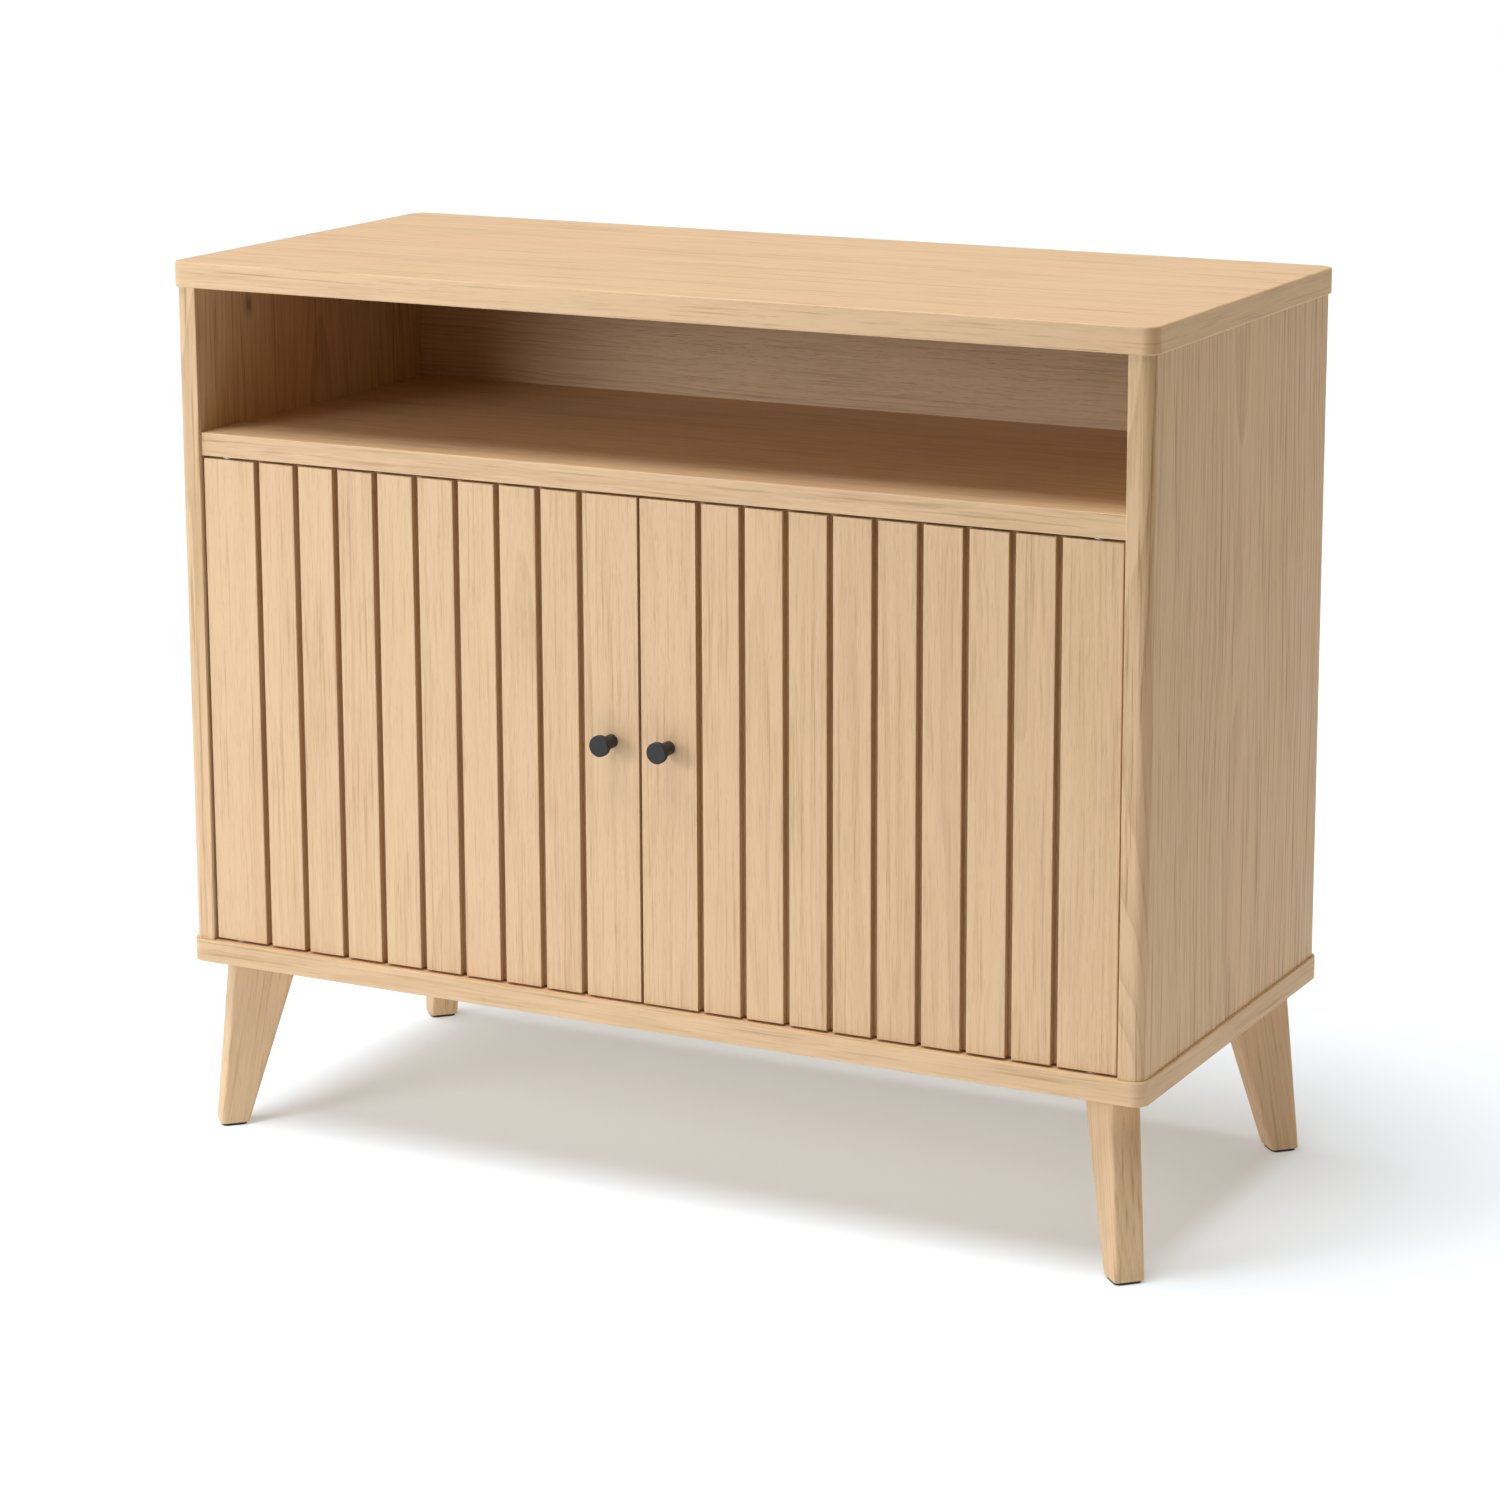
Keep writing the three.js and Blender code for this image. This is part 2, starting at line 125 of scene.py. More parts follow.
class CabinetOak(bpy.types.PropertyGroup):
    """Colours of the wood and how strongly its figure shows."""

    light: bpy.props.FloatVectorProperty(
        name="Light wood", description="Colour of the pale wood between the growth rings",
        subtype="COLOR", size=3, min=0, max=1, default=(0.720, 0.490, 0.282))
    dark: bpy.props.FloatVectorProperty(
        name="Dark wood", description="Colour of the growth rings and streaks",
        subtype="COLOR", size=3, min=0, max=1, default=(0.455, 0.275, 0.125))
    pink: bpy.props.FloatVectorProperty(
        name="Warm patches", description="Tint of the warm patches in the wood",
        subtype="COLOR", size=3, min=0, max=1, default=(1.0, 0.925, 0.95))
    green: bpy.props.FloatVectorProperty(
        name="Cool patches", description="Tint of the cool patches in the wood",
        subtype="COLOR", size=3, min=0, max=1, default=(0.975, 1.0, 0.94))
    back: bpy.props.FloatVectorProperty(
        name="Back panel", description="Colour of the grey-brown back panel",
        subtype="COLOR", size=3, min=0, max=1, default=(0.660, 0.465, 0.280))
    back_dark: bpy.props.FloatVectorProperty(
        name="Back panel rings", description="Colour of the back panel's growth rings",
        subtype="COLOR", size=3, min=0, max=1, default=(0.425, 0.270, 0.150))
    knot: bpy.props.FloatVectorProperty(
        name="Knot", description="Colour of the knot in the left side panel",
        subtype="COLOR", size=3, min=0, max=1, default=(0.200, 0.105, 0.045))
    roughness: bpy.props.FloatProperty(
        name="Roughness", description="Roughness of the oiled surface",
        subtype="FACTOR", default=0.56, min=0, max=1)
    sheen: bpy.props.FloatProperty(
        name="Sheen", description="How much the oiled surface reflects",
        subtype="FACTOR", default=0.70, min=0, max=1)


class CabinetFittings(bpy.types.PropertyGroup):
    """Colours of the knobs, glides and hidden fittings."""

    knob: bpy.props.FloatVectorProperty(
        name="Knobs", description="Colour of the black painted knobs",
        subtype="COLOR", size=3, min=0, max=1, default=(0.018, 0.018, 0.018))
    plastic: bpy.props.FloatVectorProperty(
        name="Plastic", description="Colour of the glides and the catch",
        subtype="COLOR", size=3, min=0, max=1, default=(0.022, 0.021, 0.020))
    steel: bpy.props.FloatVectorProperty(
        name="Steel", description="Colour of the bolts, pins and screws",
        subtype="COLOR", size=3, min=0, max=1, default=(0.560, 0.560, 0.550))
    nylon: bpy.props.FloatVectorProperty(
        name="Nylon", description="Colour of the pivot bushes",
        subtype="COLOR", size=3, min=0, max=1, default=(0.800, 0.780, 0.730))


class CabinetStudio(bpy.types.PropertyGroup):
    """Camera, floor and lights."""

    eye: bpy.props.FloatVectorProperty(
        name="Camera place", description="Where the camera stands",
        subtype="TRANSLATION", unit="LENGTH", size=3, default=(1.6175, -3.1048, 1.2223))
    turn: bpy.props.FloatProperty(
        name="Camera turn", description="How far the camera is turned to the left",
        subtype="ANGLE", default=math.radians(27.44))
    tilt: bpy.props.FloatProperty(
        name="Camera tilt", description="How far the camera looks down",
        subtype="ANGLE", default=math.radians(11.94))
    roll: bpy.props.FloatProperty(
        name="Camera roll", description="How far the camera leans",
        subtype="ANGLE", default=math.radians(-0.205))
    lens: bpy.props.FloatProperty(
        name="Lens", description="Focal length in millimetres on a 36 mm sensor",
        default=100.5, min=10)
    shift: bpy.props.FloatProperty(
        name="Shift", description="Vertical shift of the lens", default=-0.10)
    floor: bpy.props.FloatVectorProperty(
        name="Floor", description="Colour of the floor",
        subtype="COLOR", size=3, min=0, max=1, default=(0.65, 0.72, 0.80))
    far_floor: bpy.props.FloatVectorProperty(
        name="Far floor", description="Colour of the unlit floor, far off at the front right",
        subtype="COLOR", size=3, min=0, max=1, default=(0.20, 0.17, 0.13))
    glow: bpy.props.FloatProperty(
        name="Floor glow", description="Light that the translucent floor gives by itself",
        default=0.275, min=0)
    key: bpy.props.FloatProperty(
        name="Key light", description="Strength of the main light", default=2.95, min=0)
    key_size: bpy.props.FloatProperty(
        name="Key softness", description="Angle that the main light covers",
        subtype="ANGLE", default=math.radians(38))
    key_height: bpy.props.FloatProperty(
        name="Key height", description="Elevation of the main light",
        subtype="ANGLE", default=math.radians(77))
    key_side: bpy.props.FloatProperty(
        name="Key side", description="How far the main light stands to the left of the front",
        subtype="ANGLE", default=math.radians(35))
    fill: bpy.props.FloatProperty(
        name="Fill light", description="Power of the soft light at the front left",
        unit="POWER", default=16.0, min=0)
    sky: bpy.props.FloatVectorProperty(
        name="Upper sky", description="Colour of the studio above the backdrop",
        subtype="COLOR", size=3, min=0, max=1, default=(0.22, 0.20, 0.165))
    backdrop: bpy.props.FloatVectorProperty(
        name="Backdrop", description="Colour of the studio near the floor line",
        subtype="COLOR", size=3, min=0, max=1, default=(1.0, 1.0, 1.0))
    lit_side: bpy.props.FloatProperty(
        name="Lit side", description="Extra light from the studio's front left",
        default=0.45, min=0)
    warm_side: bpy.props.FloatVectorProperty(
        name="Warm side", description="Tint of the studio's right side",
        subtype="COLOR", size=3, min=0, max=1, default=(1.0, 0.77, 0.32))
    dim_side: bpy.props.FloatVectorProperty(
        name="Dim side", description="Tint of the studio's unlit side, at the front right",
        subtype="COLOR", size=3, min=0, max=1, default=(0.16, 0.12, 0.07))


SETTINGS = {
    "cabinet_edges": CabinetEdges,
    "cabinet_oak": CabinetOak,
    "cabinet_fittings": CabinetFittings,
    "cabinet_studio": CabinetStudio,
}


# ---------------------------------------------------------------- shader maths


class Value:
    """A socket of a material that adds Math nodes as it is used in expressions."""

    def __init__(self, graph, socket):
        self.graph = graph
        self.socket = socket

    def math(self, operation, *terms):
        inputs = dict(enumerate(terms))
        return self.graph.node("ShaderNodeMath", {"operation": operation}, inputs)

    def __add__(self, other):
        return self.math("ADD", self, other)

    __radd__ = __add__

    def __sub__(self, other):
        return self.math("SUBTRACT", self, other)

    def __rsub__(self, other):
        return self.math("SUBTRACT", other, self)

    def __mul__(self, other):
        return self.math("MULTIPLY", self, other)

    __rmul__ = __mul__

    def __truediv__(self, other):
        return self.math("DIVIDE", self, other)

    def __pow__(self, other):
        return self.math("POWER", self, other)

    def fraction(self):
        return self.math("FRACT", self)


class Graph:
    """The node tree of one material or of the world."""

    def __init__(self, owner):
        owner.use_nodes = True
        self.tree = owner.node_tree
        self.tree.nodes.clear()

    def node(self, kind, settings=None, inputs=None, output=0):
        """Adds one node: its settings first, then the values or links of its sockets."""
        made = self.tree.nodes.new(kind)
        for name, setting in (settings or {}).items():
            if name == "stops":
                set_stops(made.color_ramp, setting)
            else:
                setattr(made, name, setting)
        for key, term in (inputs or {}).items():
            socket = made.inputs[key]
            if isinstance(term, Value):
                self.tree.links.new(term.socket, socket)
            else:
                socket.default_value = term
        return Value(self, made.outputs[output]) if made.outputs else made

    def attribute(self, name, output="Fac"):
        return self.node("ShaderNodeAttribute", {"attribute_name": name}, output=output)

    def split(self, vector):
        made = self.node("ShaderNodeSeparateXYZ", inputs={0: vector}).socket.node
        return [Value(self, socket) for socket in made.outputs]

    def join(self, x, y, z):
        return self.node("ShaderNodeCombineXYZ", inputs={0: x, 1: y, 2: z})

    def stretch(self, vector, factors):
        """The vector with each of its parts multiplied by its own factor."""
        inputs = {0: vector, 1: factors}
        return self.node("ShaderNodeVectorMath", {"operation": "MULTIPLY"}, inputs)

    def noise(self, vector, detail=2.0, roughness=0.5, distortion=0.0):
        inputs = {"Vector": vector, "Scale": 1.0, "Detail": detail,
                  "Roughness": roughness, "Distortion": distortion}
        return self.node("ShaderNodeTexNoise", inputs=inputs)

    def ramp(self, factor, stops, interpolation="EASE"):
        made = self.node("ShaderNodeValToRGB", {"stops": stops}, {0: factor})
        made.socket.node.color_ramp.interpolation = interpolation
        return made

    def within(self, value, low, high):
        """0 below low, 1 above high, and a smooth rise between them."""
        settings = {"interpolation_type": "SMOOTHSTEP"}
        inputs = {0: value, 1: low, 2: high, 3: 0.0, 4: 1.0}
        return self.node("ShaderNodeMapRange", settings, inputs)

    def blend(self, factor, first, second, mode="MIX"):
        """A mix of two colours."""
        settings = {"data_type": "RGBA", "blend_type": mode, "clamp_factor": True}
        return self.node("ShaderNodeMix", settings, {0: factor, 6: first, 7: second}, output=2)

    def bump(self, height, distance, strength=1.0):
        inputs = {"Height": height, "Distance": distance, "Strength": strength}
        return self.node("ShaderNodeBump", inputs=inputs)

    def seen(self):
        """1 for what is looked at directly, 0 for what only lights or mirrors."""
        return self.node("ShaderNodeLightPath", output="Is Camera Ray")

    def surface(self, **inputs):
        """The main shader, with its sockets named by their labels."""
        sockets = {key.replace("_", " "): term for key, term in inputs.items()}
        made = self.node("ShaderNodeBsdfPrincipled", inputs=sockets)
        self.node("ShaderNodeOutputMaterial", inputs={"Surface": made})


def set_stops(ramp, stops):
    """Gives a colour ramp its stops, each a place and a grey level or a colour."""
    while len(ramp.elements) < len(stops):
        ramp.elements.new(1.0)
    for element, (place, level) in zip(ramp.elements, stops):
        element.position = place
        element.color = (level, level, level, 1) if isinstance(level, float) else (*level, 1)


def rgba(colour):
    return (*colour, 1.0)


# ---------------------------------------------------------------- wood finishes


RING_STOPS = ((0.0, 0.0), (0.45, 0.12), (0.82, 0.75), (0.93, 1.0), (1.0, 0.0))
RING_UNEVENNESS = 2.6
RING_TO_RING = 0.45

# How quickly each part of the figure changes along, across and through the grain, per metre.
RING_SWAY = (1.5, 3.0, 3.0)
RING_RIPPLE = (10.0, 24.0, 24.0)
RING_FADING = (1.2, 22.0, 22.0)
STREAKS = (4.0, 150.0, 150.0)
LINES = (8.0, 350.0, 350.0)
FIBRES = (20.0, 640.0, 640.0)
PORES = (60.0, 1150.0, 1150.0)
FLAKES = (9.0, 60.0, 60.0)
PATCHES = (2.4, 15.0, 15.0)

# The noise levels between which each part of the figure fades in.
RING_SHOWN = (0.30, 0.62)
LINE_SHOWN = (0.54, 0.72)
PORE_SHOWN = (0.60, 0.70)
PINK_SHOWN = (0.52, 0.68)
GREEN_GONE = (0.32, 0.47)


def growth_rings(graph, grain, gap, sway, ripple):
    """How dark the growth rings are, from the distance to the middle of the tree."""
    slow = graph.noise(graph.stretch(grain, RING_SWAY), detail=1.0)
    quick = graph.noise(graph.stretch(grain, RING_RIPPLE), detail=2.0)
    _, across, through = graph.split(grain)
    radius = (across * across + through * through) ** 0.5
    radius = radius + (slow - 0.5) * sway + (quick - 0.5) * ripple
    years = radius / gap
    uneven = graph.noise(graph.join(0.0, 0.0, years * RING_TO_RING), detail=1.0)
    return graph.ramp((years + uneven * RING_UNEVENNESS).fraction(), RING_STOPS)


def oak(name, ring_gap=5.2 * MM, ring_sway=26 * MM, ring_ripple=3.0 * MM, ring_depth=0.26,
        streak_depth=0.60, line_depth=0.46, flake_depth=0.15, fibre_depth=0.60, pore_depth=0.12,
        patch_depth=0.45, tone_depth=0.07, base_depth=0.04, light=None, dark=None, knot=None):
    """Pale oiled oak: growth rings, streaks, lines, fibres, pores and soft patches of colour."""
    wood = bpy.context.scene.cabinet_oak
    material = bpy.data.materials.new(name)
    graph = Graph(material)
    grain = graph.attribute("grain", "Vector")
    # The tone holds each piece's own random darkness and, on faces that line the door grooves,
    # painted groove shade as well.
    tone = graph.attribute("tone")
    ring = growth_rings(graph, grain, ring_gap, ring_sway, ring_ripple)
    streak = graph.noise(graph.stretch(grain, STREAKS), detail=3.0, roughness=0.65)
    line = graph.noise(graph.stretch(grain, LINES), detail=2.0, roughness=0.6)
    fibre = graph.noise(graph.stretch(grain, FIBRES), detail=2.0, roughness=0.6)
    pore = graph.within(graph.noise(graph.stretch(grain, PORES), detail=1.0), *PORE_SHOWN)
    flake = graph.noise(graph.stretch(grain, FLAKES), detail=2.0)
    patch = graph.noise(graph.stretch(grain, PATCHES), detail=2.0)
    fade = graph.noise(graph.stretch(grain, RING_FADING), detail=1.0)
    ring = ring * graph.within(fade, *RING_SHOWN)
    dark_line = graph.within(line, *LINE_SHOWN)
    depth = (ring * ring_depth + (streak - 0.5) * streak_depth + dark_line * line_depth
             + (flake - 0.5) * flake_depth + (fibre - 0.5) * fibre_depth + pore * pore_depth
             + tone * tone_depth + base_depth)
    colour = graph.blend(depth, rgba(light or wood.light), rgba(dark or wood.dark))
    pinkness = graph.within(patch, *PINK_SHOWN) * patch_depth
    pinker = graph.blend(1.0, colour, rgba(wood.pink), "MULTIPLY")
    colour = graph.blend(pinkness, colour, pinker)
    greenness = (1 - graph.within(patch, *GREEN_GONE)) * patch_depth
    greener = graph.blend(1.0, colour, rgba(wood.green), "MULTIPLY")
    colour = graph.blend(greenness, colour, greener)
    relief = 0.12 * MM
    height = fibre * 0.5 + streak * 0.2 - pore * 0.9 - ring * 0.15
    if knot:
        colour, height = add_knot(graph, grain, colour, height, knot)
    roughness = wood.roughness + streak * 0.10 + pore * 0.12 - 0.05
    graph.surface(Base_Color=colour, Roughness=roughness, Specular_IOR_Level=wood.sheen,
                  Normal=graph.bump(height, relief))
    return material


def add_knot(graph, grain, colour, height, knot):
    """A small tight knot at one point of the grain, in a paler halo."""
    knot_length, knot_width = 7.0 * MM, 4.5 * MM
    away = graph.node("ShaderNodeVectorMath", {"operation": "SUBTRACT"}, {0: grain, 1: knot})
    away = graph.stretch(away, (1 / knot_length, 1 / knot_width, 0.0))
    length = {"operation": "LENGTH"}
    distance = graph.node("ShaderNodeVectorMath", length, {0: away}, output="Value")
    eye = 1 - graph.within(distance, 0.3, 1.0)
    halo = 1 - graph.within(distance, 0.8, 2.2)
    dark = rgba(bpy.context.scene.cabinet_oak.knot)
    colour = graph.blend(halo * 0.35, colour, dark)
    return graph.blend(eye * 0.65, colour, dark), height - eye * 0.8


def side_oak(name, knot=None):
    """Wood with nested arches, for the side panels."""
    return oak(name, ring_gap=7.0 * MM, ring_sway=95 * MM, ring_depth=0.50, streak_depth=0.75,
               line_depth=0.80, flake_depth=0.30, knot=knot)


def back_board(name):
    """The back panel's greyer veneer with a fine wavy figure."""
    wood = bpy.context.scene.cabinet_oak
    return oak(name, ring_gap=4.2 * MM, ring_sway=30 * MM, ring_ripple=7.0 * MM, ring_depth=0.55,
               streak_depth=0.75, light=wood.back, dark=wood.back_dark)


# ---------------------------------------------------------------- other finishes


def painted_metal(name):
    """Black powder paint with a faint orange-peel texture and paler clouds."""
    paint = bpy.context.scene.cabinet_fittings
    material = bpy.data.materials.new(name)
    graph = Graph(material)
    place = graph.node("ShaderNodeTexCoord", output="Object")
    peel_size, cloud_size, paler = 2600.0, 160.0, 1.7
    speckle = graph.noise(graph.stretch(place, (peel_size,) * 3), detail=2.0)
    cloud = graph.noise(graph.stretch(place, (cloud_size,) * 3), detail=2.0)
    pale = [min(1.0, level * paler) for level in paint.knob]
    colour = graph.blend(cloud * 0.6 + speckle * 0.25, rgba(paint.knob), rgba(pale))
    graph.surface(Base_Color=colour, Roughness=0.46 + speckle * 0.16, Specular_IOR_Level=0.35,
                  Normal=graph.bump(speckle, 0.05 * MM))
    return material


def moulded(name, colour, roughness, grain_size):
    """Moulded plastic with a fine spark-eroded texture."""
    material = bpy.data.materials.new(name)
    graph = Graph(material)
    place = graph.node("ShaderNodeTexCoord", output="Object")
    cloud_size, darker = 90.0, 0.75
    speckle = graph.noise(graph.stretch(place, (grain_size,) * 3), detail=2.0)
    cloud = graph.noise(graph.stretch(place, (cloud_size,) * 3), detail=2.0)
    dark = [level * darker for level in colour]
    mixed = graph.blend(cloud, rgba(colour), rgba(dark))
    graph.surface(Base_Color=mixed, Roughness=roughness + (speckle - 0.5) * 0.2,
                  Normal=graph.bump(speckle, 0.04 * MM))
    return material


def turned_steel(name):
    """Zinc-plated steel with fine turning marks and duller patches."""
    paint = bpy.context.scene.cabinet_fittings
    material = bpy.data.materials.new(name)
    graph = Graph(material)
    place = graph.node("ShaderNodeTexCoord", output="Object")
    turning_marks, cloud_size, duller = (300.0, 300.0, 4200.0), 120.0, 0.7
    marks = graph.noise(graph.stretch(place, turning_marks), detail=2.0)
    cloud = graph.noise(graph.stretch(place, (cloud_size,) * 3), detail=3.0)
    dull = [level * duller for level in paint.steel]
    colour = graph.blend(cloud, rgba(paint.steel), rgba(dull))
    graph.surface(Base_Color=colour, Metallic=1.0, Roughness=0.26 + cloud * 0.2 + marks * 0.08,
                  Normal=graph.bump(marks, 0.02 * MM))
    return material


def make_finish(slot, name):
    """The material of one finish of the cabinet."""
    paint = bpy.context.scene.cabinet_fittings
    makers = {
        "oak_panel": lambda: oak(name, ring_depth=0.24, streak_depth=0.80, line_depth=0.60,
                                 flake_depth=0.55, ring_ripple=5.0 * MM),
        "oak_side": lambda: side_oak(name),
        "oak_slat": lambda: oak(name, ring_gap=4.6 * MM, ring_depth=0.24),
        "oak_board": lambda: oak(name, ring_depth=0.22),
        "oak_leg": lambda: oak(name, ring_gap=4.0 * MM, ring_depth=0.24, line_depth=0.60),
        "oak_back": lambda: back_board(name),
        "black_knob": lambda: painted_metal(name),
        "black_plastic": lambda: moulded(name, paint.plastic, 0.55, 1800.0),
        "steel": lambda: turned_steel(name),
        "nylon": lambda: moulded(name, paint.nylon, 0.38, 1500.0),
    }
    return makers[slot]()


def finish(slot):
    """The material for a slot, made the first time that it's asked for."""
    name = f"{slot}_finish"
    return bpy.data.materials.get(name) or make_finish(slot, name)


# ---------------------------------------------------------------- mesh helpers


def take(node):
    """A clean copy of a packed node's shape, with flat faces whole again."""
    shape = bmesh.new()
    shape.from_mesh(NODES[node].data)
    bmesh.ops.remove_doubles(shape, verts=shape.verts, dist=WELD)
    bmesh.ops.dissolve_limit(shape, angle_limit=FLAT_ANGLE, verts=shape.verts, edges=shape.edges)
    shape.normal_update()
    return shape


def sharp_edges(shape, chosen):
    """The outward sharp edges that the test picks, given each one's middle and direction."""
    found = []
    for edge in shape.edges:
        if len(edge.link_faces) != 2 or not edge.is_convex:
            continue
        if edge.calc_face_angle() < EDGE_ANGLE:
            continue
        start, end = (vert.co for vert in edge.verts)
        if chosen((start + end) / 2, end - start):
            found.append(edge)
    return found


def ease(shape, radius, chosen):
    """Rounds over the edges that the test picks."""
    edges = sharp_edges(shape, chosen)
    if edges and radius > 0:
        bmesh.ops.bevel(shape, geom=edges, offset=radius, offset_type="OFFSET", affect="EDGES",
                        segments=bpy.context.scene.cabinet_edges.steps, profile=0.5,
                        clamp_overlap=True)
    shape.normal_update()


def upright(direction):
    return abs(direction.z) > MOSTLY * direction.length


def shade(piece):
    """Smooth shading that keeps broad faces flat and crisp edges sharp."""
    mesh = piece.data
    for polygon in mesh.polygons:
        polygon.use_smooth = True
    mesh.set_sharp_from_angle(angle=SMOOTH_ANGLE)
    weighted = piece.modifiers.new("Even shading", "WEIGHTED_NORMAL")
    weighted.mode = "FACE_AREA"
    weighted.weight = 90
    weighted.keep_sharp = True


def add_piece(name, shape, node, slot, material=None):
    """Turns a shape into the piece that stands for a node, on that node's body."""
    mesh = bpy.data.meshes.new(name)
    shape.to_mesh(mesh)
    shape.free()
    mesh.materials.append(material or finish(slot))
    piece = bpy.data.objects.new(name, mesh)
    bpy.context.scene.collection.objects.link(piece)
    shade(piece)
    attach(piece, NODES[node]["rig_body"])
    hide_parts(node)
    return piece


def log_place(name):
    """Where in its log a piece was cut, and how dark it is, drawn once for each name."""
    half_length, off_centre, nearest, farthest = 3.0, 0.05, 0.03, 0.11
    draw = random.Random(f"{SEED} {name}")
    along = draw.uniform(-half_length, half_length)
    across = draw.uniform(-off_centre, off_centre)
    through = draw.uniform(nearest, farthest)
    return Vector((along, across, through)), draw.uniform(-1, 1)


def lay_grain(piece, along, across, band=None, groove=None):
    """Stores each corner's place in the log, along and across the grain, and the piece's tone.

    A band is a veneer strip round the edge: faces that it covers take their place from it.
    The faces that line a groove are darker; the groove test picks them by their normals."""
    mesh = piece.data
    place, tone = log_place(piece.name)
    through = along.cross(across)
    corners = [vert.co for vert in mesh.vertices]
    low = Vector(min(c[i] for c in corners) for i in range(3))
    high = Vector(max(c[i] for c in corners) for i in range(3))
    middle = (low + high) / 2
    spots = []
    shades = []
    for polygon in mesh.polygons:
        in_groove = groove is not None and groove(polygon.normal)
        # Faces that line a groove take painted shade on top of the piece's tone, for the groove's
        # shadow.
        shades.extend([tone + GROOVE_PAINTED_SHADE * in_groove] * polygon.loop_total)
        banded = band is not None and abs(polygon.normal.z) < 0.5
        for index in polygon.loop_indices:
            point = corners[mesh.loops[index].vertex_index] - middle
            if banded:
                spot = band(point, low - middle)
            else:
                spot = Vector((point.dot(along), point.dot(across), point.dot(through)))
            spots.extend(spot + place)
    grain = mesh.attributes.new("grain", "FLOAT_VECTOR", "CORNER")
    grain.data.foreach_set("vector", spots)
    tones = mesh.attributes.new("tone", "FLOAT", "CORNER")
    tones.data.foreach_set("value", shades)
    return piece


def edge_band(point, low):
    """The place in a veneer strip that runs round a panel from the middle of its front."""
    strip_start, strip_rise, strip_depth = 1.7, 0.03, 0.02
    depth = point.y - low.y
    run = point.x + depth if point.x > 0 else point.x - depth
    return Vector((run + strip_start, point.z + strip_rise, strip_depth))


# ---------------------------------------------------------------- cabinet pieces


def plate(node, slot):
    """The top or base panel, with its rim rounded over and a veneer strip round its edge."""
    edges = bpy.context.scene.cabinet_edges
    low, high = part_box(node)
    reach = 4.0 * MM

    def on_rim(middle, direction):
        inside = min(middle.x - low.x, high.x - middle.x, middle.y - low.y, high.y - middle.y)
        return inside < reach and not upright(direction)

    shape = take(node)
    ease(shape, edges.panel, on_rim)
    piece = add_piece(f"{node}_oak", shape, node, slot)
    return lay_grain(piece, X_AXIS, Y_AXIS, edge_band)


class CABINET_OT_panels(bpy.types.Operator):
    """Makes the top panel and the base panel"""

    bl_idname = "cabinet.panels"
    bl_label = "Top and base panels"

    def execute(self, context):
        plate("top_panel", "oak_panel")
        plate("base_panel", "oak_panel")
        return {"FINISHED"}


def side_wood(side, low, high):
    """The side panels' finish; the left one has a knot near the top front of the niche."""
    if side == "right":
        return finish("oak_side")
    place, _ = log_place("side_panel_left_oak")
    middle = (low + high) / 2
    below_top, behind_front = 24 * MM, 81 * MM
    up = high.z - below_top - middle.z
    back = low.y + behind_front - middle.y
    return side_oak("oak_side_with_knot", place + Vector((up, back, 0)))


class CABINET_OT_sides(bpy.types.Operator):
    """Makes the two side panels with upright grain"""

    bl_idname = "cabinet.sides"
    bl_label = "Side panels"

    def execute(self, context):
        edges = context.scene.cabinet_edges
        for side in DOORS:
            node = f"side_panel_{side}"
            low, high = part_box(node)

            def at_ends(middle, direction, low=low, high=high):
                near = min(middle.y - low.y, high.y - middle.y)
                return upright(direction) and near < TOUCH

            shape = take(node)
            ease(shape, edges.side, at_ends)
            piece = add_piece(f"{node}_oak", shape, node, "oak_side", side_wood(side, low, high))
            lay_grain(piece, Z_AXIS, Y_AXIS)
        return {"FINISHED"}


class CABINET_OT_shelves(bpy.types.Operator):
    """Makes the niche shelf and the adjustable inner shelf"""

    bl_idname = "cabinet.shelves"
    bl_label = "Shelves"

    def execute(self, context):
        edges = context.scene.cabinet_edges
        for node in ("niche_shelf", "inner_shelf"):
            low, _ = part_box(node)

            def at_front(middle, direction, low=low):
                return middle.y - low.y < TOUCH and not upright(direction)

            shape = take(node)
            ease(shape, edges.shelf, at_front)
            piece = add_piece(f"{node}_oak", shape, node, "oak_panel")
            lay_grain(piece, X_AXIS, Y_AXIS, edge_band)
        return {"FINISHED"}


class CABINET_OT_back(bpy.types.Operator):
    """Makes the back panel with its round cable hole"""

    bl_idname = "cabinet.back"
    bl_label = "Back panel"

    def execute(self, context):
        edges = context.scene.cabinet_edges
        low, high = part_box("back_panel")
        margin = 60 * MM

        def round_hole(middle, direction):
            inside = min(middle.x - low.x, high.x - middle.x, middle.z - low.z, high.z - middle.z)
            return inside > margin

        shape = take("back_panel")
        ease(shape, edges.side, round_hole)
        piece = add_piece("back_panel_oak", shape, "back_panel", "oak_back")
        lay_grain(piece, X_AXIS, Z_AXIS)
        return {"FINISHED"}


def faces_sideways(normal):
    return abs(normal.x) > MOSTLY


def faces_forward(normal):
    return normal.y < -MOSTLY


def door_wood(node, slot, front_radius, groove=faces_sideways):
    """One upright strip of a door, with the edges of its front rounded over."""
    low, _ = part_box(node)

    def at_front(middle, direction):
        return middle.y - low.y < TOUCH

    shape = take(node)
    ease(shape, front_radius, at_front)
    piece = add_piece(f"{node}_oak", shape, node, slot)
    # The faces that the groove test picks are painted darker: painted shade for the grooves between
    # the strips.
    return lay_grain(piece, Z_AXIS, X_AXIS, groove=groove)


